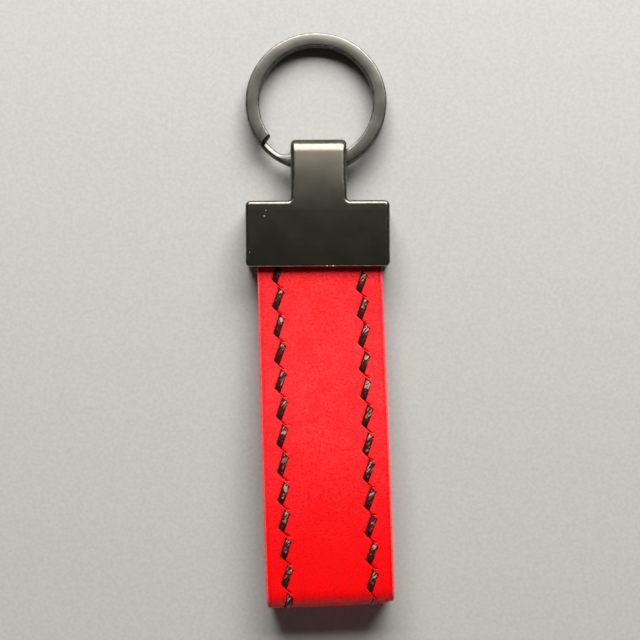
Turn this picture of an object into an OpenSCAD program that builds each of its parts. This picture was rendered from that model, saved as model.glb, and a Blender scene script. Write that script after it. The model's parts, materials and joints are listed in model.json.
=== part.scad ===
// Leather key fob: a folded red leather strap held in a T-shaped metal clasp,
// with a split ring through the eye in the clasp's neck.
// Millimetres. The fob lies on its back on z = 0, face up (+Z), ring towards +Y,
// and the origin is the middle of its footprint.

/* [Strap] */
// Width of the leather strap
strap_width = 25; // [22:0.5:30]
// Distance from the clasp's mouth to the fold's outside
strap_reach = 67; // [55:1:90]
// Thickness of the outer leather
outer_thickness = 1.2; // [1.1:0.05:1.25]
// Thickness of the lining leather
lining_thickness = 1.0; // [0.9:0.05:1.05]
// Height of the loop at its fold, outside to outside
fold_height = 9.6; // [8.8:0.1:12]

/* [Clasp] */
// Length of the clasp's head, along the strap
head_length = 12.8; // [12.4:0.1:15]
// Thickness of the head, face to back
head_thickness = 8.0; // [7.9:0.1:9]
// Thickness of the walls beside the strap
side_wall = 1.5; // [1.2:0.1:2.5]
// Width of the neck that holds the ring
neck_width = 11; // [9:0.5:11]
// Length of the neck, from the head to its rounded nose
neck_length = 12.2; // [12:0.1:14]
// Thickness of the neck at its nose
nose_thickness = 7.2; // [7:0.1:7.6]
// Radius of the eye, the bore that the ring passes through
eye_radius = 2.6; // [2.55:0.05:2.7]

/* [Split ring] */
// Outside diameter of the ring
ring_diameter = 28; // [27:0.5:30]
// Radial width of the flat wire
wire_width = 2.7; // [2.3:0.1:2.7]
// Thickness of one coil of the wire
wire_thickness = 1.2; // [1:0.05:1.2]

/* [Stitching] */
// Distance from one stitch to the next
stitch_pitch = 5.45; // [4.5:0.05:7]
// Length of one stitch where it shows
stitch_length = 3.4; // [2.6:0.1:3.6]
// Width of the waxed thread
thread_width = 0.95; // [0.6:0.05:0.95]
// Distance from the strap's edge to the middle of a seam
seam_inset = 4.1; // [3:0.1:5]
// Angle by which a stitch leans across its seam
stitch_lean = 16; // [0:1:18]

/* [Hidden] */
$fn = 48;
eps = 1; // how far a cutter runs past the face that it cuts

// Colours
gunmetal = [0.27, 0.26, 0.22];
ring_steel = [0.45, 0.43, 0.39];
screw_steel = [0.36, 0.35, 0.32];
strap_red = [0.93, 0.05, 0.08];
lining_red = [0.72, 0.05, 0.07];
thread_brown = [0.22, 0.11, 0.08];

// Clasp
fit_gap = 0.1;                                   // play between pieces that slip together
head_width = strap_width + 2 * (side_wall + fit_gap);
head_corner = 1.0;                               // corner radius of the head, seen from the front
head_edge = 0.8;                                 // radius of the head's edges
neck_edge = 0.7;                                 // radius of the neck's long edges
neck_slope = atan((head_thickness - nose_thickness) / neck_length);
nose_radius = 3.2;                               // radius of the nose, seen from the side
eye_z = nose_thickness / 2;
eye_to_nose = 4.3;

// Pocket in the head: a tall stretch at the mouth for all four layers of leather,
// then a shallow one where the plate clamps the two lining tails.
tail_z = 3.85;                                   // height of the plane where the two tails meet
tail_half = lining_thickness + 0.05;             // half the thickness of the two lining tails
pocket_width = strap_width + 2 * fit_gap;
pocket_depth = head_length - 1.5;
mouth_depth = 3;
mouth_roof = tail_z + tail_half + outer_thickness + fit_gap;
clamp_roof = tail_z + tail_half + fit_gap / 2;
plate_thickness = 1.5;
plate_pad_top = tail_z - tail_half - fit_gap / 2;
pad_groove = 0.4;
pad_groove_pitch = 1.3;

// Screws that hold the plate, M2 countersunk
screw_x = 7;
screw_from_mouth = 6.9;
boss_radius = 2;
screw_radius = 0.98;
screw_head_radius = 1.9;
screw_head_height = 1.1;
screw_tip_z = 6.2;
pilot_radius = 1.0;
pilot_top_z = 6.5;
plate_hole_radius = 1.1;

// Ring: the wire lies in two coils and steps from one to the other between the two ends
ring_radius = ring_diameter / 2;
wire_inner = ring_radius - wire_width;
wire_bevel = 0.25;
coil_gap = 0.06;
coil_rise = wire_thickness + coil_gap;           // step from the lower coil to the upper one
ring_half = wire_thickness + coil_gap / 2;
upper_end = 218.6;                               // angle of the upper coil's free end
lower_end = 250;                                 // angle of the lower coil's free end
ramp_steps = 10;
ramp_lap = 2;                                    // degrees that the step runs into each coil
ramp_inset = 0.03;                               // how much slimmer than the coils the step is
eye_to_ring = ring_radius - eye_radius + 0.5;    // eye's axis to the ring's centre
ring_far = eye_to_ring + ring_radius - wire_bevel;
ring_tilt = asin(eye_z / norm([ring_far, ring_half])) - atan(ring_half / ring_far);
ring_reach = (eye_to_ring + ring_radius) * cos(ring_tilt) + (ring_half - wire_bevel) * sin(ring_tilt);

// Places along Y, worked out so that the footprint is centred on the origin
mouth_to_eye = head_length + neck_length - eye_to_nose;
mouth_y = (strap_reach - mouth_to_eye - ring_reach) / 2;
head_top_y = mouth_y + head_length;
nose_y = head_top_y + neck_length;
eye_y = mouth_y + mouth_to_eye;
screw_y = mouth_y + screw_from_mouth;

// The glue line between the outer leather and the lining, followed from the upper tail,
// round the fold, to the lower tail. s is the distance along it from the mouth.
fold_radius = fold_height / 2 - outer_thickness;
fold_z = fold_height / 2;
run_length = strap_reach - fold_height / 2;
fold_length = PI * fold_radius;
loop_length = 2 * run_length + fold_length;
spread_length = 0.72 * run_length;               // stretch over which the two runs part
run_steps = 24;
fold_steps = 16;
outer_tail = 2.5;                                // the outer leather is skived away past this
lining_tail = 9.6;

function ease(t) = let (u = min(max(t, 0), 1)) u * u * (3 - 2 * u);
function run_middle(s) = tail_z + (fold_z - tail_z) * ease(s / spread_length);
function run_half(s) = tail_half + (fold_radius - tail_half) * ease(s / spread_length);
function run_point(s, side) = [mouth_y - s, run_middle(s) + side * run_half(s)];
function fold_point(angle) = [mouth_y - run_length - fold_radius * sin(angle), fold_z + fold_radius * cos(angle)];
function glue_point(s) =
    s <= run_length ? run_point(s, 1)
    : s >= run_length + fold_length ? run_point(loop_length - s, -1)
    : fold_point((s - run_length) / fold_radius * 180 / PI);
function outward(s) =
    let (step = 0.02, along = glue_point(s + step) - glue_point(s - step))
    [along[1], -along[0]] / norm(along);
function layer_point(s, lift) = glue_point(s) + lift * outward(s);
function strip_stations(tail) = concat(
    [-tail],
    [for (i = [0:run_steps]) run_length * i / run_steps],
    [for (i = [1:fold_steps - 1]) run_length + fold_length * i / fold_steps],
    [for (i = [0:run_steps]) run_length * (1 + i / run_steps) + fold_length],
    [loop_length + tail]
);

// Stitching: the threads lie in grooves, flush with the leather
groove_depth = thread_width / 2 + 0.05;
groove_width = stitch_length * sin(stitch_lean) + thread_width + fit_gap;
stitch_lift = 0.03;
fold_stitch_length = 1.8;
groove_tail = 2;                                 // how far a groove runs on into the clasp
fold_stitch_lift = 0.15;
seam_x = strap_width / 2 - seam_inset;
left_first = 1.15;                               // mouth to the middle of the first stitch
right_first = 3.4;
last_margin = 3;

module along_x(length) rotate([90, 0, 90]) linear_extrude(length, center = true) children();
module along_y(from, to) translate([0, to, 0]) rotate([90, 0, 0]) linear_extrude(to - from) children();

// A rectangle with round corners, from its lower left corner to its upper right one.
module round_rect(low, high, radius) {
    span = high - low;
    translate(low + [radius, 0]) square([span[0] - 2 * radius, span[1]]);
    translate(low + [0, radius]) square([span[0], span[1] - 2 * radius]);
    for (x = [low[0] + radius, high[0] - radius], y = [low[1] + radius, high[1] - radius])
        translate([x, y]) circle(radius);
}

// The head is a block rounded in all three views.
module clasp_head() {
    intersection() {
        translate([0, 0, -eps]) linear_extrude(head_thickness + 2 * eps)
            round_rect([-head_width / 2, mouth_y], [head_width / 2, head_top_y], head_corner);
        along_x(head_width + 2 * eps)
            round_rect([mouth_y, 0], [head_top_y, head_thickness], head_edge);
        along_y(mouth_y - eps, head_top_y + eps)
            round_rect([-head_width / 2, 0], [head_width / 2, head_thickness], head_edge);
    }
}

// The neck's outline from the side: a face that falls towards a round nose.
module neck_profile() {
    rear = head_top_y - head_edge - 0.5;
    nose_middle = nose_y - nose_radius;
    polygon([[rear, 0], [nose_middle, 0], [nose_middle, nose_thickness], [head_top_y, head_thickness],
        [rear, head_thickness]]);
    for (z = [nose_radius, nose_thickness - nose_radius])
        translate([nose_middle, z]) circle(nose_radius);
    translate([nose_middle - eps, nose_radius])
        square([nose_radius + eps, nose_thickness - 2 * nose_radius]);
}

module clasp_neck() {
    half = neck_width / 2;
    intersection() {
        along_x(neck_width) neck_profile();
        translate([0, head_top_y, head_thickness]) rotate([-neck_slope, 0, 0])
            translate([0, -head_top_y, -head_thickness])
            along_y(head_top_y - 2 * head_edge, nose_y + eps)
            round_rect([-half, -2 * eps], [half, head_thickness], neck_edge);
    }
}

// The hollow for the strap's tails, open at the mouth and at the back.
module clasp_pocket() {
    half = pocket_width / 2;
    translate([-half, mouth_y - eps, -eps]) cube([pocket_width, mouth_depth + eps, mouth_roof + eps]);
    difference() {
        translate([-half, mouth_y, -eps]) cube([pocket_width, pocket_depth, clamp_roof + eps]);
        for (side = [-1, 1])
            translate([side * screw_x, screw_y, tail_z - tail_half]) cylinder(h = clamp_roof, r = boss_radius);
    }
}

module clasp_shell() {
    color(gunmetal) difference() {
        union() {
            clasp_head();
            clasp_neck();
        }
        clasp_pocket();
        translate([0, eye_y, eye_z]) rotate([0, 90, 0])
            cylinder(h = neck_width + 2 * eps, r = eye_radius, center = true);
        for (side = [-1, 1])
            translate([side * screw_x, screw_y, -eps]) cylinder(h = pilot_top_z + eps, r = pilot_radius);
    }
}

// The plate closes the back of the head. Its raised pad is grooved to grip the leather.
module clamp_plate() {
    half = strap_width / 2;
    plate_length = pocket_depth - fit_gap;
    pad_start = mouth_depth + fit_gap;
    color(gunmetal) difference() {
        translate([-half, mouth_y, 0]) union() {
            cube([strap_width, plate_length, plate_thickness]);
            translate([0, pad_start, 0]) cube([strap_width, plate_length - pad_start, plate_pad_top]);
        }
        for (y = [mouth_y + pad_start + 1:pad_groove_pitch:mouth_y + plate_length - 1])
            translate([-half - eps, y, plate_pad_top - pad_groove])
                cube([strap_width + 2 * eps, pad_groove, pad_groove + eps]);
        for (side = [-1, 1]) translate([side * screw_x, screw_y, 0]) {
            translate([0, 0, -eps]) cylinder(h = plate_pad_top + 2 * eps, r = plate_hole_radius);
            cylinder(h = screw_head_height, r1 = screw_head_radius + fit_gap, r2 = plate_hole_radius);
        }
    }
}

module plate_screw(side) {
    recess_length = 2.3;
    recess_width = 0.5;
    recess_depth = 0.7;
    color(screw_steel) translate([side * screw_x, screw_y, 0]) difference() {
        union() {
            cylinder(h = screw_head_height, r1 = screw_head_radius, r2 = screw_radius);
            cylinder(h = screw_tip_z, r = screw_radius);
        }
        for (turn = [0, 90]) rotate(turn)
            translate([-recess_length / 2, -recess_width / 2, -eps])
            cube([recess_length, recess_width, recess_depth + eps]);
    }
}

// Section of the wire in its own plane, with its lower inner corner at [wire_inner, base].
function wire_section(base, inset) =
    let (a = wire_inner + inset, b = ring_radius - inset, c = base + inset,
        d = base + wire_thickness - inset, e = wire_bevel)
    [[a + e, c], [b - e, c], [b, c + e], [b, d - e], [b - e, d], [a + e, d], [a, d - e], [a, c + e]];

// The step between the coils, swept over the gap between the two free ends.
module wire_step() {
    sides = len(wire_section(0, 0));
    sweep = lower_end - upper_end;
    stations = concat([-ramp_lap], [for (i = [0:ramp_steps]) sweep * i / ramp_steps], [sweep + ramp_lap]);
    points = [
        for (turn = stations)
            for (p = wire_section(-ring_half + coil_rise * ease(turn / sweep), ramp_inset))
                [p[0] * cos(upper_end + turn), p[0] * sin(upper_end + turn), p[1]]
    ];
    last = (len(stations) - 1) * sides;
    skin = [
        for (i = [0:len(stations) - 2], j = [0:sides - 1])
            let (a = i * sides + j, b = i * sides + (j + 1) % sides)
            [a, b, b + sides, a + sides]
    ];
    polyhedron(points, concat([[for (j = [sides - 1:-1:0]) j]], skin, [[for (j = [0:sides - 1]) last + j]]));
}

module split_ring() {
    coil_sweep = 360 - (lower_end - upper_end);
    color(ring_steel) translate([0, eye_y, eye_z]) rotate([-ring_tilt, 0, 0]) translate([0, eye_to_ring, 0]) {
        for (base = [-ring_half, coil_gap / 2])
            rotate(lower_end) rotate_extrude(angle = coil_sweep, $fn = 96) polygon(wire_section(base, 0));
        wire_step();
    }
}

// A strip of leather bent along the glue line, between two distances from it.
module strip(tail, inner, outer, width) {
    stations = strip_stations(tail);
    last = len(stations) - 1;
    along_x(width) polygon(concat(
        [for (s = stations) layer_point(s, outer)],
        [for (i = [last:-1:0]) layer_point(stations[i], inner)]
    ));
}

module strap_outer() {
    color(strap_red) difference() {
        strip(outer_tail, 0, outer_thickness, strap_width);
        for (side = [-1, 1]) translate([side * seam_x, 0, 0])
            strip(groove_tail, outer_thickness - groove_depth, outer_thickness + eps, groove_width);
    }
}

module strap_lining() {
    color(lining_red) difference() {
        strip(lining_tail, -lining_thickness, 0, strap_width);
        for (side = [-1, 1]) {
            translate([side * seam_x, 0, 0])
                strip(groove_tail, -lining_thickness - fit_gap / 4, groove_depth - lining_thickness, groove_width);
            translate([side * screw_x, screw_y, 0]) cylinder(h = head_thickness, r = boss_radius + 2 * fit_gap);
        }
    }
}

// One stitch: a length of thread, flat underneath, lying along Y.
module stitch(length) {
    rotate([90, 0, 0]) linear_extrude(length, center = true) intersection() {
        circle(thread_width / 2, $fn = 24);
        translate([-thread_width, 0]) square([2 * thread_width, thread_width]);
    }
}

// A row of stitches all round the loop. face is 1 on the outside, -1 on the lining.
module seam(side, first, face) {
    floor_lift = face > 0 ? outer_thickness - groove_depth : groove_depth - lining_thickness;
    color(thread_brown) for (s = [first:stitch_pitch:loop_length - last_margin]) {
        at_fold = abs(s - loop_length / 2) < fold_length / 2 + stitch_length / 2 + 0.2;
        length = at_fold ? fold_stitch_length : stitch_length;
        lift = at_fold && face < 0 ? fold_stitch_lift : stitch_lift;
        place = layer_point(s, floor_lift + face * lift);
        normal = face * outward(s);
        translate([side * seam_x, place[0], place[1]]) rotate([atan2(-normal[0], normal[1]), 0, 0])
            rotate(-stitch_lean) stitch(length);
    }
}

module left_top_thread() seam(-1, left_first, 1);
module left_bobbin_thread() seam(-1, left_first, -1);
module right_top_thread() seam(1, right_first, 1);
module right_bobbin_thread() seam(1, right_first, -1);

clasp_shell();
clamp_plate();
plate_screw(-1);  // plate_screw_left
plate_screw(1);  // plate_screw_right
split_ring();
strap_outer();
strap_lining();
left_top_thread();
left_bobbin_thread();
right_top_thread();
right_bobbin_thread();
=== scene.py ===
"""Looks of the leather key fob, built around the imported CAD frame.

Shapes are worked out in millimetres, along the frame's own axes, and turned into metres when a mesh is made.
The clasp's mouth, where the strap bends, faces -Y, and the split ring is on the +Y side.
"""

import json
import math

import bpy
import numpy as np
from mathutils import Matrix, Vector


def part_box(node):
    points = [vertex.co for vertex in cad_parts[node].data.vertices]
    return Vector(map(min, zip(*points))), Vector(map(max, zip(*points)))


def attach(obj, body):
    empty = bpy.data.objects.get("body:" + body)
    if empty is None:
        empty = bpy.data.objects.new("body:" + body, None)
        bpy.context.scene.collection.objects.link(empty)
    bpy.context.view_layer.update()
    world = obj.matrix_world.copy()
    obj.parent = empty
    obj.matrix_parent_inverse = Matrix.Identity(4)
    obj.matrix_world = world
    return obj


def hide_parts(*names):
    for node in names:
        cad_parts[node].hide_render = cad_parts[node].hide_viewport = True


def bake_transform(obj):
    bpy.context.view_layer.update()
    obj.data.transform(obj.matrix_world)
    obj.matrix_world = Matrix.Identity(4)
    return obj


MM = 0.001
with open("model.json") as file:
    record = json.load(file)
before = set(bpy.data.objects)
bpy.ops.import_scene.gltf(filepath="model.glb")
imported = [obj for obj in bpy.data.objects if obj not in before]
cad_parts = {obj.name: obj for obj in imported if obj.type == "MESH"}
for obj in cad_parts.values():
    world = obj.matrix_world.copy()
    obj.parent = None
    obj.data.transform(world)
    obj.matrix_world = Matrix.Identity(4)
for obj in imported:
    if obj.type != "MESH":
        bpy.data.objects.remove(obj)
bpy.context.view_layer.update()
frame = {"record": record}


# ---------------------------------------------------------------- dimensions, in millimetres

def node_box(node):
    """Lowest and highest corner of a CAD node, in millimetres."""
    low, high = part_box(node)
    return np.array(low) / MM, np.array(high) / MM


JOINTS = {joint["name"]: joint for joint in frame["record"]["behaviour"]["joints"]}
EYE_Y, EYE_Z = np.array(JOINTS["ring_swing"]["pos_m"][1:]) / MM
MOUTH_Y, TAIL_Z = np.array(JOINTS["strap_bend"]["pos_m"][1:]) / MM
SHELL_LOW, SHELL_HIGH = node_box("clasp_shell")
PLATE_LOW, PLATE_HIGH = node_box("clamp_plate")
STRAP_LOW, STRAP_HIGH = node_box("strap_outer")

# Clasp
HEAD_WIDTH = SHELL_HIGH[0] - SHELL_LOW[0]
HEAD_THICKNESS = SHELL_HIGH[2]
HEAD_LENGTH = 12.95
HEAD_CORNER = 1.0
HEAD_TOP_Y = MOUTH_Y + HEAD_LENGTH
CROWN_DROP = 0.35
NECK_WIDTH = 11.0
NECK_X = 0.25
NECK_FILLET = 0.65
NOSE_Y = SHELL_HIGH[1] + 0.2
NOSE_THICKNESS = 6.3
NOSE_RADIUS = 1.3
NOSE_DROP, NOSE_REACH = 0.75, 2.6
MOUTH_EDGE, SHELL_EDGE, NECK_EDGE_EXTRA = 0.45, 0.75, 0.3
MOUTH_LEFT, MOUTH_RIGHT, MOUTH_HEIGHT = -12.6, 12.95, 6.2
POCKET_HALF_WIDTH, POCKET_HEIGHT = 12.6, 4.95
POCKET_FILLET, POCKET_RIM = 0.3, 0.2
EYE_RADIUS, EYE_RIM = 2.6, 0.35
BOSS_RADIUS = 2.0
BORE_RADIUS, BORE_TOP = 1.0, 6.5

# Back plate and screws
PLATE_THICKNESS = 1.5
PLATE_EDGE = 0.2
PAD_START = MOUTH_Y + 3.1
GROOVE_PITCH = 1.3
SCREW_X = 7.0
SCREW_Y = MOUTH_Y + 6.9
SCREW_HEAD_RADIUS, SCREW_HEAD_TOP = 1.9, 1.1
SCREW_SHANK_RADIUS = 0.92
SCREW_PITCH = 0.4

# Leather
STRAP_WIDTH = STRAP_HIGH[0] - STRAP_LOW[0]
STRAP_REACH = MOUTH_Y - STRAP_LOW[1] - 0.5
FOLD_Z = STRAP_HIGH[2] / 2
OUTER_THICKNESS = 1.2
LINING_THICKNESS = 1.0
TAIL_HALF = LINING_THICKNESS + 0.05
OUTER_TAIL = 2.5
LINING_TAIL = 9.6
FOLD_RADIUS = FOLD_Z - OUTER_THICKNESS
FOLD_POWER = 3.6
FOLD_SKEW = 0.012
FOLD_PINCH = 0.016
RUN_LENGTH = STRAP_REACH - FOLD_Z
SPREAD_LENGTH = 0.72 * RUN_LENGTH
STRAP_LEAN = math.radians(1.6)
CLAMP_Y = MOUTH_Y + 12.0
MOUTH_SHARE, FOLD_SHARE = 0.982, 0.994
CUT_CORNER, CUT_ARRIS = 0.28, 0.12
CREASE_INSET, CREASE_DEPTH = 0.68, 0.15

# Stitching, by side of the strap (-1 left, 1 right) or by face of the leather (1 worked top, -1 lining)
STITCH_PITCH = {-1: 5.39, 1: 5.29}
STITCH_LENGTH = 3.75
STITCH_LEAN = math.radians(20)
THREAD_HALF_WIDTH = 0.54
THREAD_HALF_HEIGHT = 0.34
THREAD_SINK = {1: 0.2, -1: 0.33}
THREAD_DIVE = 0.85
THREAD_TWIST = 7.0
SLIT_SLOPE = 0.92
SLIT_PAST_END = 0.06
SEAM_X = STRAP_WIDTH / 2 - 4.1
FIRST_STITCH = {-1: 0.8, 1: 3.45}
LAST_MARGIN = 3.0
# How far from the middle of a seam the leather's mesh has its columns
SEAM_OFFSETS = np.array([0.15, 0.3, 0.4, 0.47, 0.54, 0.64, 0.8, 1.05, 1.35, 1.7, 2.1, 2.6])

# Split ring. Its two ends, and the step's overlap with the lower coil, are in degrees
RING_RADIUS = 14.0
WIRE_WIDTH = 2.7
WIRE_THICKNESS = 1.2
WIRE_BEVEL = 0.24
INNER_BEVEL = WIRE_BEVEL + 0.16
WIRE_DOME = 0.05
COIL_GAP = 0.06
UPPER_END = 220.4
LOWER_END = 250.0
PINCH_DEPTH, PINCH_OVERLAP = 1.3, 14
EYE_TO_RING = RING_RADIUS - EYE_RADIUS + 0.7
RING_X = -0.2


# ---------------------------------------------------------------- small numeric helpers

def ease(t):
    """0 before 0, 1 after 1, smooth between."""
    u = np.clip(t, 0, 1)
    return u * u * (3 - 2 * u)


def hump(t):
    """A bell of height 1 and half-width about 1."""
    return np.exp(-np.square(t))


# ---------------------------------------------------------------- meshes

def make_piece(name, vertices, faces, normals=None, **values):
    """A smooth mesh object from millimetre points. values become point attributes."""
    mesh = bpy.data.meshes.new(name)
    mesh.from_pydata((np.asarray(vertices) * MM).tolist(), [], faces)
    mesh.shade_smooth()
    if normals is not None:
        mesh.normals_split_custom_set_from_vertices(np.asarray(normals).tolist())
    for key, value in values.items():
        value = np.asarray(value, np.float32)
        if value.ndim == 1:
            mesh.attributes.new(key, "FLOAT", "POINT").data.foreach_set("value", value)
        else:
            mesh.attributes.new(key, "FLOAT_VECTOR", "POINT").data.foreach_set("vector", value.ravel())
    piece = bpy.data.objects.new(name, mesh)
    bpy.context.scene.collection.objects.link(piece)
    return piece


def volume(vertices, triangles):
    """Signed volume that a closed set of triangles holds."""
    a, b, c = (vertices[triangles[:, k]] for k in range(3))
    return np.einsum("ij,ij->", a, np.cross(b, c)) / 6


def with_cap_centres(values):
    """Flat per-vertex values of a loft, with those of its two cap centres added."""
    flat = values.reshape(-1, *values.shape[2:])
    return np.concatenate([flat, values[:1].mean(axis=1), values[-1:].mean(axis=1)])


def loft(sections):
    """Vertices and outward faces of a closed loft through sections with equal numbers of points."""
    rings, points = sections.shape[:2]
    index = np.arange(rings * points).reshape(rings, points)
    after = np.roll(index, -1, axis=1)
    quads = np.stack([index[:-1], after[:-1], after[1:], index[1:]], axis=-1).reshape(-1, 4)
    first_centre = np.full(points, rings * points)
    first_cap = np.stack([first_centre, after[0], index[0]], axis=-1)
    last_cap = np.stack([first_centre + 1, index[-1], after[-1]], axis=-1)
    vertices = with_cap_centres(sections)
    caps = np.concatenate([first_cap, last_cap])
    triangles = np.concatenate([quads[:, :3], quads[:, [0, 2, 3]], caps])
    turn = 1 if volume(vertices, triangles) > 0 else -1
    return vertices, quads[:, ::turn].tolist() + caps[:, ::turn].tolist()


def loft_piece(name, lofts, **values):
    """One piece from one or more lofts. Each of values is a list with an array for each loft."""
    vertices, faces, count = [], [], 0
    for sections in lofts:
        points, loops = loft(sections)
        vertices.append(points)
        faces += [[corner + count for corner in loop] for loop in loops]
        count += len(points)
    flat = {key: np.concatenate([with_cap_centres(v) for v in value]) for key, value in values.items()}
    return make_piece(name, np.concatenate(vertices), faces, **flat)


# ---------------------------------------------------------------- rounded solids from distance fields

def rect(u, v, half_u, half_v, radius):
    """Distance to a rectangle round [0, 0] with round corners."""
    a = np.abs(u) - half_u + radius
    b = np.abs(v) - half_v + radius
    return np.hypot(np.maximum(a, 0), np.maximum(b, 0)) + np.minimum(np.maximum(a, b), 0) - radius


def block(p, low, high, radius):
    """Distance to a box with round edges."""
    middle, half = (np.array(low) + high) / 2, (np.array(high) - low) / 2
    q = np.abs(p - middle) - half + radius
    outside = np.linalg.norm(np.maximum(q, 0), axis=-1)
    return outside + np.minimum(q.max(axis=-1), 0) - radius


def both(a, b, radius):
    """What two solids share, its new edge rounded."""
    corner = np.hypot(np.maximum(a + radius, 0), np.maximum(b + radius, 0))
    return np.minimum(-radius, np.maximum(a, b)) + corner


def either(a, b, radius):
    """Two solids joined, with a fillet."""
    return -both(-a, -b, radius)


def gradient(field, points, step=0.01):
    """The field's gradient at points, by central differences."""
    columns = []
    for axis in range(3):
        shift = np.zeros(3)
        shift[axis] = step
        columns.append((field(points + shift) - field(points - shift)) / (2 * step))
    return np.stack(columns, axis=-1)


def convexity(field, points, reach):
    """How sharply the surface turns outwards at points: 0 on a flat, 1 / radius on a round edge."""
    total = -6 * field(points)
    for axis in range(3):
        shift = np.zeros(3)
        shift[axis] = reach
        total += field(points + shift) + field(points - shift)
    return total / reach ** 2


def cell_points(values, origin, step):
    """One point for each grid cell that the surface passes through, and each cell's number."""
    cells = tuple(n - 1 for n in values.shape)
    total = np.zeros(cells + (3,))
    count = np.zeros(cells)
    for axis in range(3):
        u, v = [a for a in range(3) if a != axis]
        for du in (0, 1):
            for dv in (0, 1):
                start = [slice(0, -1)] * 3
                start[u] = slice(du, cells[u] + du)
                start[v] = slice(dv, cells[v] + dv)
                end = list(start)
                end[axis] = slice(1, None)
                a, b = values[tuple(start)], values[tuple(end)]
                crossed = (a < 0) != (b < 0)
                total[..., axis] += np.where(crossed, a / np.where(crossed, a - b, 1), 0)
                total[..., u] += crossed * du
                total[..., v] += crossed * dv
                count += crossed
    used = count > 0
    number = np.full(cells, -1)
    number[used] = np.arange(used.sum())
    return origin + step * (np.argwhere(used) + total[used] / count[used][:, None]), number


def net_quads(inside, number):
    """The quads of a surface net, each round a grid edge that passes through the surface."""
    quads = []
    for axis in range(3):
        u, v = (axis + 1) % 3, (axis + 2) % 3
        before = inside[tuple(slice(0, -1) if k == axis else slice(1, -1) for k in range(3))]
        beyond = inside[tuple(slice(1, None) if k == axis else slice(1, -1) for k in range(3))]
        for crossing, turn in ((before & ~beyond, 1), (~before & beyond, -1)):
            corners = []
            for du, dv in ((0, 0), (1, 0), (1, 1), (0, 1)):
                cell = np.argwhere(crossing)
                cell[:, u] += du
                cell[:, v] += dv
                corners.append(number[tuple(cell.T)])
            quads.append(np.stack(corners[::turn], axis=-1))
    return np.concatenate(quads)


def surface(field, low, high, step):
    """Vertices, quads and normals of field = 0, by surface nets, with the vertices pulled onto it."""
    axes = [np.arange(a - 2 * step, b + 2.5 * step, step) for a, b in zip(low, high)]
    values = field(np.stack(np.meshgrid(*axes, indexing="ij"), axis=-1))
    vertices, number = cell_points(values, np.array([a[0] for a in axes]), step)
    quads = net_quads(values < 0, number)
    for _ in range(4):
        slope = gradient(field, vertices)
        move = -field(vertices)[:, None] * slope / np.maximum((slope ** 2).sum(-1, keepdims=True), 0.05)
        length = np.linalg.norm(move, axis=-1, keepdims=True)
        vertices = vertices + move * np.minimum(1, 0.4 * step / np.maximum(length, 1e-9))
    slope = gradient(field, vertices)
    return vertices, quads, slope / np.linalg.norm(slope, axis=-1, keepdims=True)


def solid_piece(name, field, low, high, step):
    """A piece made from a distance field, with its round edges marked for wear."""
    vertices, quads, normals = surface(field, low, high, step)
    wear = np.clip(convexity(field, vertices, 0.3), -2, 2)
    return make_piece(name, vertices, quads.tolist(), normals, wear=wear)


# ---------------------------------------------------------------- clasp

def face_height(y):
    """Height of the clasp's face: level on the head, lower along the neck and slightly lower at the mouth."""
    fall = np.clip((y - HEAD_TOP_Y + 2) / (NOSE_Y - HEAD_TOP_Y + 2), 0, 1) ** 1.6
    crown = np.clip((HEAD_TOP_Y - 3 - y) / (HEAD_LENGTH - 3), 0, 1) ** 2
    nose = np.clip((y - NOSE_Y + NOSE_REACH) / NOSE_REACH, 0, 1) ** 2
    return HEAD_THICKNESS - (HEAD_THICKNESS - NOSE_THICKNESS) * fall - CROWN_DROP * crown - NOSE_DROP * nose


def screw_distance(p):
    """Distance in plan to the nearer screw's axis."""
    return np.hypot(np.abs(p[..., 0]) - SCREW_X, p[..., 1] - SCREW_Y)


def clasp_plan(x, y):
    """Distance to the T-shaped outline of head and neck."""
    head = rect(x, y - (MOUTH_Y + HEAD_TOP_Y) / 2, HEAD_WIDTH / 2, HEAD_LENGTH / 2, HEAD_CORNER)
    low, high = MOUTH_Y + 4, NOSE_Y + SHELL_EDGE
    neck = rect(x - NECK_X, y - (low + high) / 2, NECK_WIDTH / 2, (high - low) / 2, 0.1)
    return either(head, neck, NECK_FILLET)


def clasp_pocket(p):
    """Distance to the hollow for the leather's ends: tall at the mouth, lower further in, with two bosses."""
    low_y = MOUTH_Y - 5
    tall = block(p, [MOUTH_LEFT, low_y, -5], [MOUTH_RIGHT, MOUTH_Y + 3, MOUTH_HEIGHT], POCKET_FILLET)
    inner_high = [POCKET_HALF_WIDTH, HEAD_TOP_Y - 1.5, POCKET_HEIGHT]
    shallow = block(p, [-POCKET_HALF_WIDTH, low_y, -5], inner_high, POCKET_FILLET)
    return np.maximum(np.minimum(tall, shallow), BOSS_RADIUS - screw_distance(p))


def clasp_field(p):
    """The T-shaped casting: head, neck with a falling face and a round nose, pocket, eye and screw holes."""
    x, y, z = p[..., 0], p[..., 1], p[..., 2]
    level = z * HEAD_THICKNESS / face_height(y) - HEAD_THICKNESS / 2
    low = MOUTH_Y - 8
    side = rect(y - (low + NOSE_Y) / 2, level, (NOSE_Y - low) / 2, HEAD_THICKNESS / 2, NOSE_RADIUS)
    edge = MOUTH_EDGE + (SHELL_EDGE - MOUTH_EDGE) * ease((y - MOUTH_Y - 0.5) / 2.5)
    edge = edge + NECK_EDGE_EXTRA * ease((y - HEAD_TOP_Y - 1) / 4)
    casting = both(clasp_plan(x, y), side, edge)
    casting = both(casting, -clasp_pocket(p), POCKET_RIM)
    casting = both(casting, EYE_RADIUS - np.hypot(y - EYE_Y, z - EYE_Z), EYE_RIM)
    return np.maximum(casting, np.minimum(BORE_RADIUS - screw_distance(p), BORE_TOP - z))


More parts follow.
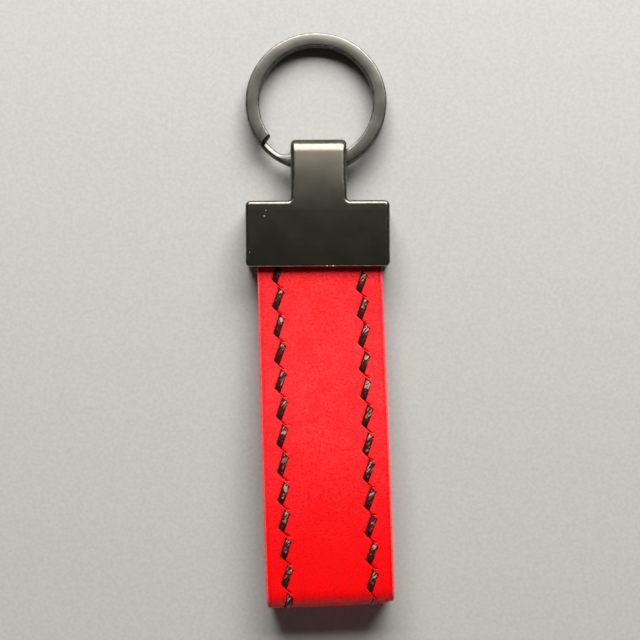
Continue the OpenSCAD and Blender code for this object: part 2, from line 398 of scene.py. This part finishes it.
def plate_field(p):
    """The back plate with its raised, grooved pad and countersunk holes."""
    y, z = p[..., 1], p[..., 2]
    base = block(p, PLATE_LOW, [PLATE_HIGH[0], PLATE_HIGH[1], PLATE_THICKNESS], PLATE_EDGE)
    pad = block(p, [PLATE_LOW[0], PAD_START, 0], PLATE_HIGH, PLATE_EDGE)
    groove = rect((y - PAD_START) % GROOVE_PITCH - GROOVE_PITCH / 2, z - PLATE_HIGH[2], 0.2, 0.4, 0.05)
    hole_radius = np.maximum(1.1, 2.0 - z * 0.82)
    return both(np.minimum(base, np.maximum(pad, -groove)), hole_radius - screw_distance(p), 0.1)


def screw_field(side):
    """A countersunk M2 screw with a cross recess."""
    def field(p):
        x, y, z = p[..., 0] - side * SCREW_X, p[..., 1] - SCREW_Y, p[..., 2]
        line = np.hypot(x, y)
        cone = (line - SCREW_HEAD_RADIUS + z * 0.84) * 0.77
        head = both(both(cone, z - SCREW_HEAD_TOP, 0.05), 0.06 - z, 0.12)
        ridge = 0.05 * np.cos(2 * math.pi * z / SCREW_PITCH - np.arctan2(y, x))
        shank = both(line - SCREW_SHANK_RADIUS - ridge * ease(z - 1.4), np.abs(z - 3.3) - 2.9, 0.1)
        bars = [rect(a, b, 1.15, 0.26, 0.1) for a, b in ((x, y), (y, x))]
        recess = np.maximum(np.minimum(*bars), z - 0.75)
        return both(np.minimum(head, shank), -recess, 0.06)
    return field


# ---------------------------------------------------------------- split ring

def ring_tilt():
    """The angle at which the ring's far end rests on the floor."""
    half = WIRE_THICKNESS + COIL_GAP / 2
    far = EYE_TO_RING + RING_RADIUS - 0.25
    return math.asin(EYE_Z / math.hypot(far, half)) - math.atan(half / far)


def wire_section(inner, outer, low, high, inner_bevel):
    """The flat wire's outline (r, z) from its lower inner corner: round corners and domed broad sides."""
    corners = [
        (inner, low, WIRE_BEVEL), (outer, low, WIRE_BEVEL),
        (outer, high, 2 * WIRE_BEVEL), (inner, high, inner_bevel),
    ]
    arcs = []
    for turn, (r, z, across) in enumerate(corners):
        up = min(across, 0.4)
        inwards = np.array([1 if turn in (0, 3) else -1, 1 if turn in (0, 1) else -1])
        centre = [r, z] + inwards * [across, up]
        angle = np.radians(np.linspace(180, 270, 6) + 90 * turn)
        arcs.append(centre + np.stack([across * np.cos(angle), up * np.sin(angle)], axis=-1))
    points = []
    for turn, arc in enumerate(arcs):
        share = np.array([0.03, 0.25, 0.5, 0.75, 0.97])[:, None]
        side = arc[-1] + (arcs[(turn + 1) % 4][0] - arc[-1]) * share
        side[:, 1] += WIRE_DOME * np.sin(math.pi * share[:, 0]) * (-1, 0, 1, 0)[turn]
        points += [arc, side]
    return np.concatenate(points)


def ring_piece():
    """One wire wound twice, with the pinched step between its coils and two cut ends."""
    sweep = LOWER_END - UPPER_END
    coil = 360 - sweep
    total = 2 * coil + sweep
    pinch_end = coil + sweep + PINCH_OVERLAP
    inner = RING_RADIUS - WIRE_WIDTH
    stations = np.concatenate([
        [0, 0.2, 0.6], np.linspace(1.5, coil, 150), np.linspace(coil, pinch_end, 60)[1:],
        np.linspace(pinch_end, total - 1.5, 150)[1:], [total - 0.6, total - 0.2, total],
    ])
    sections, around = [], []
    for along in stations:
        low = COIL_GAP / 2 - (WIRE_THICKNESS + COIL_GAP) * float(ease((along - coil) / sweep))
        pinch = float(ease((along - coil) / 17) * ease((pinch_end - along) / PINCH_OVERLAP))
        cut = 0.1 * (1 - min(along, total - along, 0.6) / 0.6) ** 2
        outline = wire_section(
            inner + PINCH_DEPTH * pinch + cut, RING_RADIUS - cut, low + cut, low + WIRE_THICKNESS - cut,
            INNER_BEVEL + 0.26 * pinch,
        )
        r, z = outline.T
        skew = 3.2 * (RING_RADIUS - r) / WIRE_WIDTH * max(0, 1 - along / 14)
        bevel = 2.6 * np.clip((z - low) / WIRE_THICKNESS, 0, 1) * max(0, 1 - along / 5)
        angle = np.radians(UPPER_END - along - skew - bevel)
        sections.append(np.stack([r * np.cos(angle), EYE_TO_RING + r * np.sin(angle), z], axis=-1))
        around.append(np.stack([np.full_like(r, math.radians(along) * RING_RADIUS), r, z], axis=-1))
    tilt = np.array(Matrix.Rotation(-ring_tilt(), 3, "X"))
    placed = np.array(sections) @ tilt.T + [RING_X, EYE_Y, EYE_Z]
    corner_wear, side_wear = [0.1, 0.7, 1, 1, 0.7, 0.1], [0, 0, 0, 0, 0]
    wear = np.tile(corner_wear + side_wear, (len(stations), 4))
    return loft_piece("ring_wire", [placed], around=[np.array(around)], wear=[wear])


# ---------------------------------------------------------------- the strap's path

def fold_outline():
    """Points (y, z) round the fold: a half circle squared off a little, as thick leather bends."""
    angle = np.linspace(math.pi / 2, -math.pi / 2, 600)
    c, s = np.cos(angle), np.sin(angle)
    radius = FOLD_RADIUS * (np.abs(c) ** FOLD_POWER + np.abs(s) ** FOLD_POWER) ** (-1 / FOLD_POWER)
    return np.stack([MOUTH_Y - RUN_LENGTH - radius * c, FOLD_Z + radius * s], axis=-1)


def loop_path():
    """Dense points (y, z) of the line between the two leathers, and their lengths from the upper mouth."""
    reach = np.linspace(0, RUN_LENGTH, 1500)
    spread = ease(reach / SPREAD_LENGTH)
    middle = TAIL_Z + (FOLD_Z - TAIL_Z) * spread
    half = TAIL_HALF + (FOLD_RADIUS - TAIL_HALF) * spread
    upper = np.stack([MOUTH_Y - reach, middle + half], axis=-1)
    lower = np.stack([MOUTH_Y - reach, middle - half], axis=-1)
    tail = [CLAMP_Y - MOUTH_Y, 0]
    points = np.concatenate([upper[:1] + tail, upper, fold_outline()[1:-1], lower[::-1], lower[:1] + tail])
    lengths = np.cumsum(np.linalg.norm(np.diff(points, axis=0), axis=1))
    return points, np.concatenate([[0], lengths]) - tail[0]


PATH, PATH_LENGTHS = loop_path()
LOOP_LENGTH = PATH_LENGTHS[-2]


def glue_line(s):
    """Points (y, z) of the line between the two leathers, followed from tail to tail."""
    return np.stack([np.interp(s, PATH_LENGTHS, PATH[:, axis]) for axis in (0, 1)], axis=-1)


def outward(s):
    """Unit vectors (y, z) away from the inside of the loop."""
    along = glue_line(np.asarray(s) + 0.1) - glue_line(np.asarray(s) - 0.1)
    across = np.stack([along[..., 1], -along[..., 0]], axis=-1)
    return across / np.linalg.norm(across, axis=-1, keepdims=True)


def on_strap(x, s, lift):
    """Where a point of the leather lies: x across, s along the glue line, lift out of it."""
    x, s, lift = np.broadcast_arrays(np.asarray(x, float), s, lift)
    y, z = np.moveaxis(glue_line(s) + lift[..., None] * outward(s), -1, 0)
    reach = CLAMP_Y - y
    part = np.clip((MOUTH_Y - y) / STRAP_REACH, 0, 1)
    pinch = FOLD_PINCH * hump((s - LOOP_LENGTH / 2) / 3.5)
    x = x * (MOUTH_SHARE + (FOLD_SHARE - MOUTH_SHARE) * part - pinch)
    skew = FOLD_SKEW * x * ease(part)
    c, n = math.cos(STRAP_LEAN), math.sin(STRAP_LEAN)
    return np.stack([x * c + reach * n, CLAMP_Y - reach * c + x * n + skew, z], axis=-1)


# ---------------------------------------------------------------- seams

class Seam:
    """One row of stitches on one face: where its threads run, and the slanted slits between them."""

    def __init__(self, side, face):
        rng = np.random.default_rng(40 + 2 * side + face)
        middles = np.arange(FIRST_STITCH[side], LOOP_LENGTH - LAST_MARGIN, STITCH_PITCH[side])
        count = len(middles)
        swing = STITCH_LENGTH / 2 * math.tan(STITCH_LEAN)
        self.middle_x = side * SEAM_X
        self.start_s = middles - STITCH_LENGTH / 2 + rng.uniform(-0.12, 0.12, count)
        self.end_s = middles + STITCH_LENGTH / 2 + rng.uniform(-0.12, 0.12, count)
        self.start_x = swing * rng.uniform(0.85, 1.2, count)
        self.end_x = -swing * rng.uniform(0.85, 1.2, count)
        self.twist = rng.uniform(0, 2 * math.pi, count)
        self.knots_s = np.stack([self.start_s, self.end_s], axis=1).ravel()
        self.knots_x = np.stack([self.start_x, self.end_x], axis=1).ravel()

    def axis(self, row):
        """How far the threads' line is from the seam's middle."""
        return np.interp(row, self.knots_s, self.knots_x)

    def thread_share(self, row):
        """1 where a thread lies on the leather."""
        nearest = np.min(np.abs(self.knots_s - row), axis=-1, keepdims=True)
        on_thread = np.searchsorted(self.knots_s, row) % 2 == 1
        return ease(np.where(on_thread, nearest, -nearest) / 0.14 + 0.5)


SEAMS = {(side, face): Seam(side, face) for side in (-1, 1) for face in (-1, 1)}


def past_nearest(places, row):
    """How far rows are past the nearest of some places along a seam."""
    away = row - places
    return np.take_along_axis(away, np.argmin(np.abs(away), axis=-1)[:, None], axis=-1)


def seam_relief(seam, offset, row):
    """Height of the leather near a seam, with troughs for the threads, slits and their lips, and painted
    shade in the slits and beside the threads.
    """
    thread = seam.thread_share(row)
    past_slit = past_nearest(seam.end_s + SLIT_PAST_END, row)
    past_start = past_nearest(seam.start_s, row)
    span = ease((offset + 0.62) / 0.14) * ease((1.4 - offset) / 0.25)
    cut = span * hump(past_slit / 0.12)
    slit_lip = 0.06 * span * ease((1.1 - offset) / 0.4) * hump((past_slit - 0.27) / 0.13)
    exit_lip = 0.17 * ease((past_start + 0.42) / 0.38) * hump(offset / 0.55) * (past_start < 0.2)
    beside = np.abs(offset + 0.06)
    trough = 0.46 * thread * (1 - ease((beside - 0.42) / 0.2))
    height = (slit_lip + exit_lip) * (1 - thread) - trough - 0.55 * cut - 0.05 * hump(offset / 1.3)
    return height, np.clip(1.7 * cut + thread * (1 - ease((beside - 0.46) / 0.12)), 0, 1)


def leather_rows(tail, face):
    """Places along the leather, close together at the fold, the slits and the threads' ends."""
    fold = LOOP_LENGTH / 2
    near_slit = (-0.12, -0.05, 0.01, 0.06, 0.11, 0.16, 0.22, 0.3, 0.4, 0.5)
    near_start = (-0.42, -0.22, -0.07, 0.0, 0.07)
    rows = [np.arange(-tail, LOOP_LENGTH + tail, 0.5), [LOOP_LENGTH + tail]]
    rows.append(np.arange(fold - 7, fold + 7, 0.25))
    for side in (-1, 1):
        seam = SEAMS[side, face]
        rows += [seam.end_s + step for step in near_slit]
        rows += [seam.start_s + step for step in near_start]
    rows = np.sort(np.concatenate(rows))
    return rows[np.diff(rows, append=np.inf) > 0.02]


def face_columns(edge):
    """Positions across one face of the leather, close together at the seams and the edges."""
    seam = np.concatenate([-SEAM_OFFSETS[::-1], [0], SEAM_OFFSETS])
    inner, outer = SEAM_X - SEAM_OFFSETS[-1], SEAM_X + SEAM_OFFSETS[-1]
    middle = np.linspace(-inner, inner, 8)[1:-1]
    border = edge - np.array([0.85, 0.76, CREASE_INSET, 0.6, 0.5, 0.36])
    margin = np.concatenate([[(outer + border[0]) / 2], border])
    return np.concatenate([-margin[::-1], -SEAM_X + seam, middle, SEAM_X + seam, margin])


def leather_face(columns, rows, face, edge, base):
    """x, s, lift and painted shade over one face of the leather, its rows slanted at the seams like the
    slits.
    """
    row = rows[:, None]
    x = np.tile(columns, (len(rows), 1))
    s = np.tile(row, (1, len(columns)))
    lift = np.full_like(x, base)
    dark = np.zeros_like(x)
    outside = ease((row + 1) / 1.5) * ease((LOOP_LENGTH + 1 - row) / 1.5)
    for side in (-1, 1):
        seam = SEAMS[side, face]
        offset = (columns - seam.middle_x)[None, :]
        near = 1 - ease((np.abs(offset) - 1.0) / 2.1)
        x += seam.axis(row) * near
        s += SLIT_SLOPE * offset * near * outside
        # shade is painted shade, near-black in the slits and beside the threads.
        height, shade = seam_relief(seam, offset, row)
        lift += face * height
        dark += shade
    crown = 0.07 * np.clip(1 - (columns / (SEAM_X - 0.6)) ** 2, 0, 1)
    crease = hump((edge - np.abs(columns) - CREASE_INSET) / 0.09) * (face > 0)
    # The crease's groove gets painted shade too.
    return x, s, lift + face * (crown - CREASE_DEPTH * crease), dark + 0.55 * crease


def leather_edge(edge, top, bottom, face):
    """The leather's cut edge from its worked face to its plain one: distances from the middle and lifts."""
    rows = []
    for angle in np.radians(np.linspace(90, 0, 5)):
        drop = face * CUT_CORNER * (1 - math.sin(angle))
        rows.append((edge - CUT_CORNER + CUT_CORNER * math.cos(angle), top - drop))
    rows.append((edge + 0.03, (top + bottom) / 2 - face * 0.12))
    for angle in np.radians(np.linspace(0, 90, 3)):
        rise = face * CUT_ARRIS * (1 - math.sin(angle))
        rows.append((edge - CUT_ARRIS + CUT_ARRIS * math.cos(angle), bottom + rise))
    return np.array(rows)


def strap_layer(name, tail, top, bottom, face):
    """One leather as a closed loft: worked face, cut edge, plain face, cut edge."""
    edge = STRAP_WIDTH / 2
    stations = leather_rows(tail, face)
    rows = len(stations)
    x, s, lift, dark = leather_face(face_columns(edge), stations, face, edge, top)
    right = leather_edge(edge, top, bottom, face)
    plain = np.stack([np.linspace(edge - 0.4, 0.4 - edge, 4), np.full(4, bottom)], axis=-1)
    left = right[::-1] * [-1, 1]
    rest = np.concatenate([right, plain, left])
    is_edge = np.concatenate([np.ones(len(right)), np.zeros(len(plain)), np.ones(len(left))])
    mark = np.concatenate([np.zeros_like(x), np.tile(is_edge, (rows, 1))], axis=1)
    x = np.concatenate([x, np.tile(rest[:, 0], (rows, 1))], axis=1)
    s = np.concatenate([s, np.tile(stations[:, None], (1, len(rest)))], axis=1)
    lift = np.concatenate([lift, np.tile(rest[:, 1], (rows, 1))], axis=1)
    dark = np.concatenate([dark, np.zeros((rows, len(rest)))], axis=1)
    fold = hump((stations - LOOP_LENGTH / 2) / 7)[:, None]
    corner_drop = (0.28 + 0.14 * np.sign(x)) * fold * ease((np.abs(x) - edge + 2.2) / 2.2)
    free = (ease((stations - 4) / 12) * ease((LOOP_LENGTH - 4 - stations) / 12))[:, None]
    waves = 0.05 * np.sin(stations[:, None] * 0.31 + 1.3) * np.sin(x * 0.21 + 0.4)
    lift = lift - corner_drop + waves * free
    grain = np.stack([x, s, lift], axis=-1)
    return loft_piece(name, [on_strap(x, s, lift)], grain=[grain], edge_mark=[mark], dark=[dark])


# ---------------------------------------------------------------- threads

def stitch_loft(seam, face, k, base):
    """Sections, fibre coordinates and rise of one stitch: a flat twisted thread that dives into its slits.

    rise is 1 where the thread comes out of the leather and 0 where it goes back in.
    """
    rings, around = 31, 30
    hidden = 0.3
    way = np.linspace(0, 1, rings)[:, None]
    length = seam.end_s[k] - seam.start_s[k]
    row = seam.start_s[k] - hidden + (length + 2 * hidden) * way
    lean = (seam.end_x[k] - seam.start_x[k]) / length
    arch = np.clip(np.sin(math.pi * way), 0, 1) ** 0.36
    angle = np.linspace(0, 2 * math.pi, around, endpoint=False)[None, :]
    twist = seam.twist[k] + 2 * math.pi * row / THREAD_TWIST
    plump = 1 + 0.06 * np.cos(3 * (angle - twist)) + 0.035 * np.cos(11 * angle - 5 * twist)
    wide, high = (np.sign(f(angle)) * np.abs(f(angle)) ** 0.8 for f in (np.cos, np.sin))
    aside = THREAD_HALF_WIDTH * plump * wide / (1 - lean * SLIT_SLOPE)
    depth = -THREAD_DIVE + (THREAD_DIVE - THREAD_SINK[face]) * arch + THREAD_HALF_HEIGHT * plump * high
    x = seam.middle_x + seam.start_x[k] + lean * (row - seam.start_s[k]) + aside
    sections = on_strap(x, row + SLIT_SLOPE * aside, base + face * depth)
    ply = np.broadcast_to((angle - twist) * THREAD_HALF_WIDTH, aside.shape)
    fibre = np.stack([ply, np.broadcast_to(row, aside.shape), np.full_like(aside, k)], axis=-1)
    return sections, fibre, np.broadcast_to(1 - way, aside.shape)


def thread_row(name, side, face, base):
    """Every stitch of one seam on one face."""
    seam = SEAMS[side, face]
    stitches = [stitch_loft(seam, face, k, base) for k in range(len(seam.start_s))]
    sections, fibre, rise = zip(*stitches)
    return loft_piece(name, sections, fibre=fibre, rise=rise)


# ---------------------------------------------------------------- materials

class Finish:
    """A Principled material, with short calls that add nodes and return their output sockets."""

    def __init__(self, name, attribute=None, **same):
        self.material = bpy.data.materials.new(name)
        self.material.use_nodes = True
        self.tree = self.material.node_tree
        self.shader = self.tree.nodes["Principled BSDF"]
        for key, value in same.items():
            self.shader.inputs[key.replace("_", " ")].default_value = value
        self.place = self.attribute(attribute, "Vector") if attribute else self.object_place()

    def add(self, kind, inputs, output=0, **settings):
        """A node of one kind. Inputs that are sockets are linked, and the rest are set."""
        node = self.tree.nodes.new("ShaderNode" + kind)
        for key, value in settings.items():
            setattr(node, key, value)
        for key, value in inputs.items():
            if isinstance(value, bpy.types.NodeSocket):
                self.tree.links.new(value, node.inputs[key])
            else:
                node.inputs[key].default_value = value
        return node.outputs[output]

    def object_place(self):
        """The piece's own coordinates, in millimetres."""
        metres = self.add("TexCoord", {}, "Object")
        return self.add("VectorMath", {0: metres, 3: 1 / MM}, operation="SCALE")

    def attribute(self, name, output="Fac"):
        return self.add("Attribute", {}, output, attribute_name=name)

    def stretch(self, scale):
        """The place, scaled by a different factor along each axis."""
        return self.add("VectorMath", {0: self.place, 1: scale}, operation="MULTIPLY")

    def distance(self, place, point):
        return self.add("VectorMath", {0: place, 1: point}, 1, operation="DISTANCE")

    def noise(self, scale, detail=4.0, roughness=0.55, vector=None):
        inputs = {"Vector": vector or self.place, "Scale": scale, "Detail": detail, "Roughness": roughness}
        return self.add("TexNoise", inputs)

    def pits(self, scale):
        return self.add("TexVoronoi", {"Vector": self.place, "Scale": scale}, "Distance")

    def math(self, operation, a, b=0.0):
        return self.add("Math", {0: a, 1: b}, operation=operation)

    def step(self, value, low, high, out_low=0.0, out_high=1.0):
        """value's way from low to high, smoothed, as a number from out_low to out_high."""
        inputs = {0: value, 1: low, 2: high, 3: out_low, 4: out_high}
        return self.add("MapRange", inputs, interpolation_type="SMOOTHSTEP")

    def mix(self, share, a, b):
        """Colour a with a share of b. A colour is a socket or three numbers."""
        rgba = [(*c, 1.0) if isinstance(c, tuple) else c for c in (a, b)]
        return self.add("Mix", {0: share, 6: rgba[0], 7: rgba[1]}, 2, data_type="RGBA")

    def bump(self, height, distance, normal=None):
        """A bump of that height in metres, on top of another bump if one is given."""
        inputs = {"Height": height, "Distance": distance, "Strength": 1.0}
        if normal:
            inputs["Normal"] = normal
        return self.add("Bump", inputs)

    def wear(self, sockets):
        """Links outputs to the shader's inputs and returns the material."""
        for key, value in sockets.items():
            self.tree.links.new(value, self.shader.inputs[key])
        return self.material


# Chips in the clasp's plating: x, y and radius
CHIPS = [(-10.4, 20.1, 0.16), (-10.1, 21.2, 0.11), (-13.3, 13.1, 0.13), (3.0, 10.4, 0.14), (1.8, 10.35, 0.12)]


def gunmetal(name, brushed_round=None):
    """Satin gunmetal plating: cloudy tone, bright worn edges, and brushed streaks.

    Where it is brushed round a point, that is on the casting, it has a few chips too.
    """
    f = Finish(name, Metallic=0.96)
    cloud = f.noise(0.22, 5.0)
    tone = f.mix(f.step(cloud, 0.3, 0.7), (0.088, 0.082, 0.066), (0.1, 0.093, 0.076))
    worn = f.math("MULTIPLY", f.step(f.attribute("wear"), 0.35, 1.2), f.step(f.noise(1.3, 6.0), 0.42, 0.72))
    tone = f.mix(f.math("MULTIPLY", worn, 0.2), tone, (0.4, 0.385, 0.35))
    if brushed_round:
        chip = 0.0
        ragged = f.math("MULTIPLY", f.noise(6.0, 2.0), 0.22)
        flat = f.stretch((1.0, 1.0, 0.0))
        for x, y, radius in CHIPS:
            away = f.distance(flat, (x, y, 0.0))
            spot = f.math("LESS_THAN", f.math("ADD", away, ragged), radius + 0.11)
            chip = f.math("MAXIMUM", spot, chip)
        tone = f.mix(chip, tone, (0.9, 0.88, 0.84))
        centre = f.distance(flat, brushed_round)
        streak = f.noise(1.0, 3.0, 0.6, f.add("CombineXYZ", {0: f.math("MULTIPLY", centre, 9.0), 1: 0.0}))
        lines = f.noise(1.0, 3.0, 0.6, f.stretch((0.35, 9.0, 9.0)))
    else:
        streak = f.noise(1.0, 3.0, 0.6, f.stretch((0.3, 14.0, 14.0)))
        lines = f.noise(1.0, 3.0, 0.6, f.stretch((0.2, 22.0, 22.0)))
    rough = f.math("ADD", f.step(cloud, 0.25, 0.75, 0.275, 0.295), f.math("MULTIPLY", streak, 0.05))
    marks = f.math("ADD", f.math("MULTIPLY", streak, 0.6), f.math("MULTIPLY", lines, 0.4))
    normal = f.bump(marks, 0.000003)
    normal = f.bump(f.noise(7.0, 3.0), 0.000002, normal)
    return f.wear({"Base Color": tone, "Roughness": rough, "Normal": normal})


def ring_steel():
    """The split ring's darkened spring steel: drawn along the wire, rubbed bright on its edges."""
    f = Finish("ring_steel", "around", Metallic=0.95)
    cloud = f.noise(0.25, 5.0)
    drawn = f.noise(1.0, 3.0, 0.6, f.stretch((0.12, 9.0, 9.0)))
    tone = f.mix(f.step(cloud, 0.3, 0.7), (0.072, 0.07, 0.061), (0.09, 0.087, 0.077))
    worn = f.math("MULTIPLY", f.step(f.attribute("wear"), 0.5, 1.0), f.step(f.noise(0.8, 6.0), 0.3, 0.62))
    tone = f.mix(f.math("MULTIPLY", worn, 0.5), tone, (0.42, 0.41, 0.385))
    rough = f.math("ADD", f.step(cloud, 0.25, 0.75, 0.3, 0.34), f.math("MULTIPLY", drawn, 0.08))
    normal = f.bump(drawn, 0.000006)
    normal = f.bump(f.noise(5.0, 3.0), 0.000004, normal)
    return f.wear({"Base Color": tone, "Roughness": rough, "Normal": normal})


def leather(name, deep, bright, edge, shine):
    """Dyed calf leather: mottled and finely grained, with a painted sheen away from the fold, painted shade
    in the cuts, in the crease and beside the threads, and a paler cut edge that is partly the edge's own
    colour and partly a painted highlight.

    deep is its colour at the fold, bright its colour with the painted sheen, edge the colour of its cut edge,
    and shine its specular level.
    """
    f = Finish(name, "grain", Diffuse_Roughness=0.4)
    f.shader.inputs["Specular IOR Level"].default_value = shine
    mottle = f.noise(0.3, 6.0, 0.6)
    speckle = f.noise(2.6, 4.0, 0.65)
    along = f.add("SeparateXYZ", {0: f.place}, 1)
    from_fold = f.math("ABSOLUTE", f.math("SUBTRACT", along, LOOP_LENGTH / 2))
    # Painted sheen: away from the fold the colour moves from deep to bright, a paler red that stands in for
    # the light's sheen, patched by a random mottle.
    painted_sheen_and_mottle = f.math("MULTIPLY", f.step(from_fold, 6.0, 40.0), f.step(mottle, 0.35, 0.65, 0.6, 1.0))
    tone = f.mix(painted_sheen_and_mottle, deep, bright)
    tone = f.mix(f.step(speckle, 0.44, 0.62, 0.0, 0.8), tone, tuple(0.7 * c for c in deep))
    # Paler cut edge: partly the edge's own colour and partly a painted highlight, where the edge's round
    # catches the light.
    pale = f.math("MULTIPLY", f.attribute("edge_mark"), f.step(f.noise(1.6, 5.0), 0.3, 0.7, 0.35, 0.85))
    tone = f.mix(pale, tone, edge)
    # Painted shade: the leather turns near-black in the slits, beside the threads and in the crease.
    tone = f.mix(f.step(f.attribute("dark"), 0.3, 0.9, 0.0, 0.92), tone, tuple(0.1 * c for c in deep))
    pores = f.step(f.pits(2.3), 0.0, 0.32)
    rough = f.step(speckle, 0.3, 0.7, 0.42, 0.54)
    normal = f.bump(pores, 0.00001)
    normal = f.bump(f.noise(1.6, 5.0), 0.000025, normal)
    normal = f.bump(f.noise(7.0, 3.0), 0.00002, normal)
    return f.wear({"Base Color": tone, "Roughness": rough, "Normal": normal})


def waxed_thread():
    """Dark brown waxed linen: twisted fibres and pale waxy patches, with painted highlight making the patches
    commoner where the thread comes up, and painted shade where it dives.
    """
    f = Finish("waxed_thread", "fibre")
    f.shader.inputs["Specular IOR Level"].default_value = 0.12
    fibres = f.noise(1.0, 3.0, 0.6, f.stretch((9.0, 1.0, 7.0)))
    tone = f.mix(f.step(fibres, 0.4, 0.62), (0.008, 0.002, 0.0015), (0.042, 0.012, 0.009))
    # rubbed is random pale patches plus a painted highlight that makes them commoner where the thread comes
    # up out of the leather.
    rubbed = f.math("ADD", f.noise(1.1, 4.0), f.step(f.attribute("rise"), 0.1, 1.0, -0.13, 0.13))
    strands = f.noise(1.0, 2.0, 0.5, f.stretch((2.6, 0.45, 7.0)))
    pale_patches_and_highlight = f.math("MULTIPLY", f.step(rubbed, 0.46, 0.6), f.step(strands, 0.46, 0.58))
    tone = f.mix(f.math("MULTIPLY", pale_patches_and_highlight, 0.68), tone, (0.42, 0.3, 0.25))
    # Painted shade: the thread turns near-black over its last part, where it dives into the slit.
    tone = f.mix(f.step(f.attribute("rise"), 0.1, 0.4, 0.75, 0.0), tone, (0.006, 0.0008, 0.0008))
    rough = f.step(fibres, 0.3, 0.7, 0.5, 0.7)
    return f.wear({"Base Color": tone, "Roughness": rough, "Normal": f.bump(fibres, 0.00007)})


def floor_finish():
    """Plain pale grey floor, with a fine even grain."""
    f = Finish("floor", Roughness=0.85)
    tone = f.mix(f.step(f.noise(1.5, 3.0), 0.3, 0.7), (0.33, 0.33, 0.318), (0.36, 0.36, 0.348))
    return f.wear({"Base Color": tone})


# ---------------------------------------------------------------- putting the pieces together

def fit(piece, material, slot, *nodes):
    """Gives a piece its finish and hides the CAD nodes that it stands for. slot is not used."""
    piece.data.materials.append(material)
    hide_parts(*nodes)
    return piece


def build_clasp():
    """The casting, its back plate and the plate's two screws."""
    shell = solid_piece("clasp_casting", clasp_field, SHELL_LOW, SHELL_HIGH, 0.2)
    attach(fit(shell, gunmetal("clasp_metal", (-2.0, 17.0, 0.0)), "clasp_metal", "clasp_shell"), "clasp")
    plate = solid_piece("back_plate", plate_field, PLATE_LOW, PLATE_HIGH, 0.16)
    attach(fit(plate, gunmetal("plate_metal"), "clasp_metal", "clamp_plate"), "clasp")
    steel = gunmetal("screw_steel")
    for side, word in ((-1, "left"), (1, "right")):
        node = f"plate_screw_{word}"
        screw = solid_piece(f"{word}_screw", screw_field(side), *node_box(node), 0.07)
        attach(fit(screw, steel, "screw_steel", node), "clasp")


def build_ring():
    """The split ring, which swings in the casting's eye."""
    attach(fit(ring_piece(), ring_steel(), "ring_steel", "split_ring"), "ring")


def bend_with_strap(piece):
    """Bakes the piece's placement into its mesh."""
    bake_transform(piece)


def build_strap():
    """Two leathers and four rows of stitches. On each face, a row is named after its side of the strap."""
    # For each leather, bright is its colour with a painted sheen, used away from the fold, and edge is its
    # cut edge's colour, partly a painted highlight.
    outer_leather = leather(
        "strap_leather", deep=(0.74, 0.0006, 0.002), bright=(0.76, 0.024, 0.03), edge=(0.78, 0.095, 0.105),
        shine=0.15,
    )
    outer = strap_layer("outer_leather", OUTER_TAIL, OUTER_THICKNESS, 0.0, 1)
    bend_with_strap(fit(outer, outer_leather, "strap_leather", "strap_outer"))
    lining_leather = leather(
        "lining_leather", deep=(0.5, 0.01, 0.014), bright=(0.6, 0.018, 0.024), edge=(0.62, 0.09, 0.09),
        shine=0.3,
    )
    lining = strap_layer("lining_leather", LINING_TAIL, -LINING_THICKNESS, -0.02, -1)
    bend_with_strap(fit(lining, lining_leather, "lining_leather", "strap_lining"))
    thread = waxed_thread()
    for side, word in ((-1, "left"), (1, "right")):
        for face, kind, base in ((1, "top", OUTER_THICKNESS), (-1, "bobbin", -LINING_THICKNESS)):
            row = thread_row(f"{word}_{kind}_stitches", side, face, base)
            bend_with_strap(fit(row, thread, "thread", f"{word}_{kind}_thread"))


# ---------------------------------------------------------------- floor, light and camera

def build_floor():
    """A large square, in metres, just under the part."""
    size, drop = 3.0, 0.00015
    mesh = bpy.data.meshes.new("floor")
    corners = [(x * size, y * size, -drop) for x, y in ((-1, -1), (1, -1), (1, 1), (-1, 1))]
    mesh.from_pydata(corners, [], [(0, 1, 2, 3)])
    floor = bpy.data.objects.new("floor", mesh)
    bpy.context.scene.collection.objects.link(floor)
    floor.data.materials.append(floor_finish())


def add_light(name, elevation, azimuth, distance, width, height, power, colour):
    """A rectangular softbox, in metres, that faces the origin. Azimuth 0 is towards +Y, 90 towards +X."""
    light = bpy.data.lights.new(name, "AREA")
    light.shape = "RECTANGLE"
    light.size, light.size_y = width, height
    light.energy = power
    light.color = colour
    lamp = bpy.data.objects.new(name, light)
    e, a = math.radians(elevation), math.radians(azimuth)
    toward = Vector((math.cos(e) * math.sin(a), math.cos(e) * math.cos(a), math.sin(e)))
    lamp.location = toward * distance
    lamp.rotation_euler = toward.to_track_quat("Z", "Y").to_euler()
    bpy.context.scene.collection.objects.link(lamp)


def build_light():
    """A soft window above the ring's end, a low fill from the strap's end, and a faint warm surrounding."""
    world = bpy.data.worlds.new("studio")
    world.use_nodes = True
    background = world.node_tree.nodes["Background"]
    background.inputs["Color"].default_value = (1.0, 0.97, 0.9, 1.0)
    background.inputs["Strength"].default_value = 0.03
    bpy.context.scene.world = world
    add_light(
        "window", elevation=36, azimuth=6, distance=0.7, width=0.71, height=0.44, power=16.5,
        colour=(1.0, 0.98, 0.95),
    )
    add_light(
        "bounce", elevation=8, azimuth=180, distance=1.0, width=1.2, height=0.26, power=3.2,
        colour=(1.0, 0.97, 0.93),
    )
    bpy.context.scene.view_settings.view_transform = "Standard"


def build_camera():
    """Straight down from 280 mm, turned a little."""
    data = bpy.data.cameras.new("camera")
    data.lens = 78.5
    data.sensor_width = 36
    camera = bpy.data.objects.new("camera", data)
    place = Vector((0.36, -0.22, 280)) * MM
    camera.matrix_world = Matrix.Translation(place) @ Matrix.Rotation(math.radians(-0.3), 4, "Z")
    bpy.context.scene.collection.objects.link(camera)
    bpy.context.scene.camera = camera


build_camera()
build_clasp()
build_ring()
build_strap()
build_floor()
build_light()

bpy.context.view_layer.update()
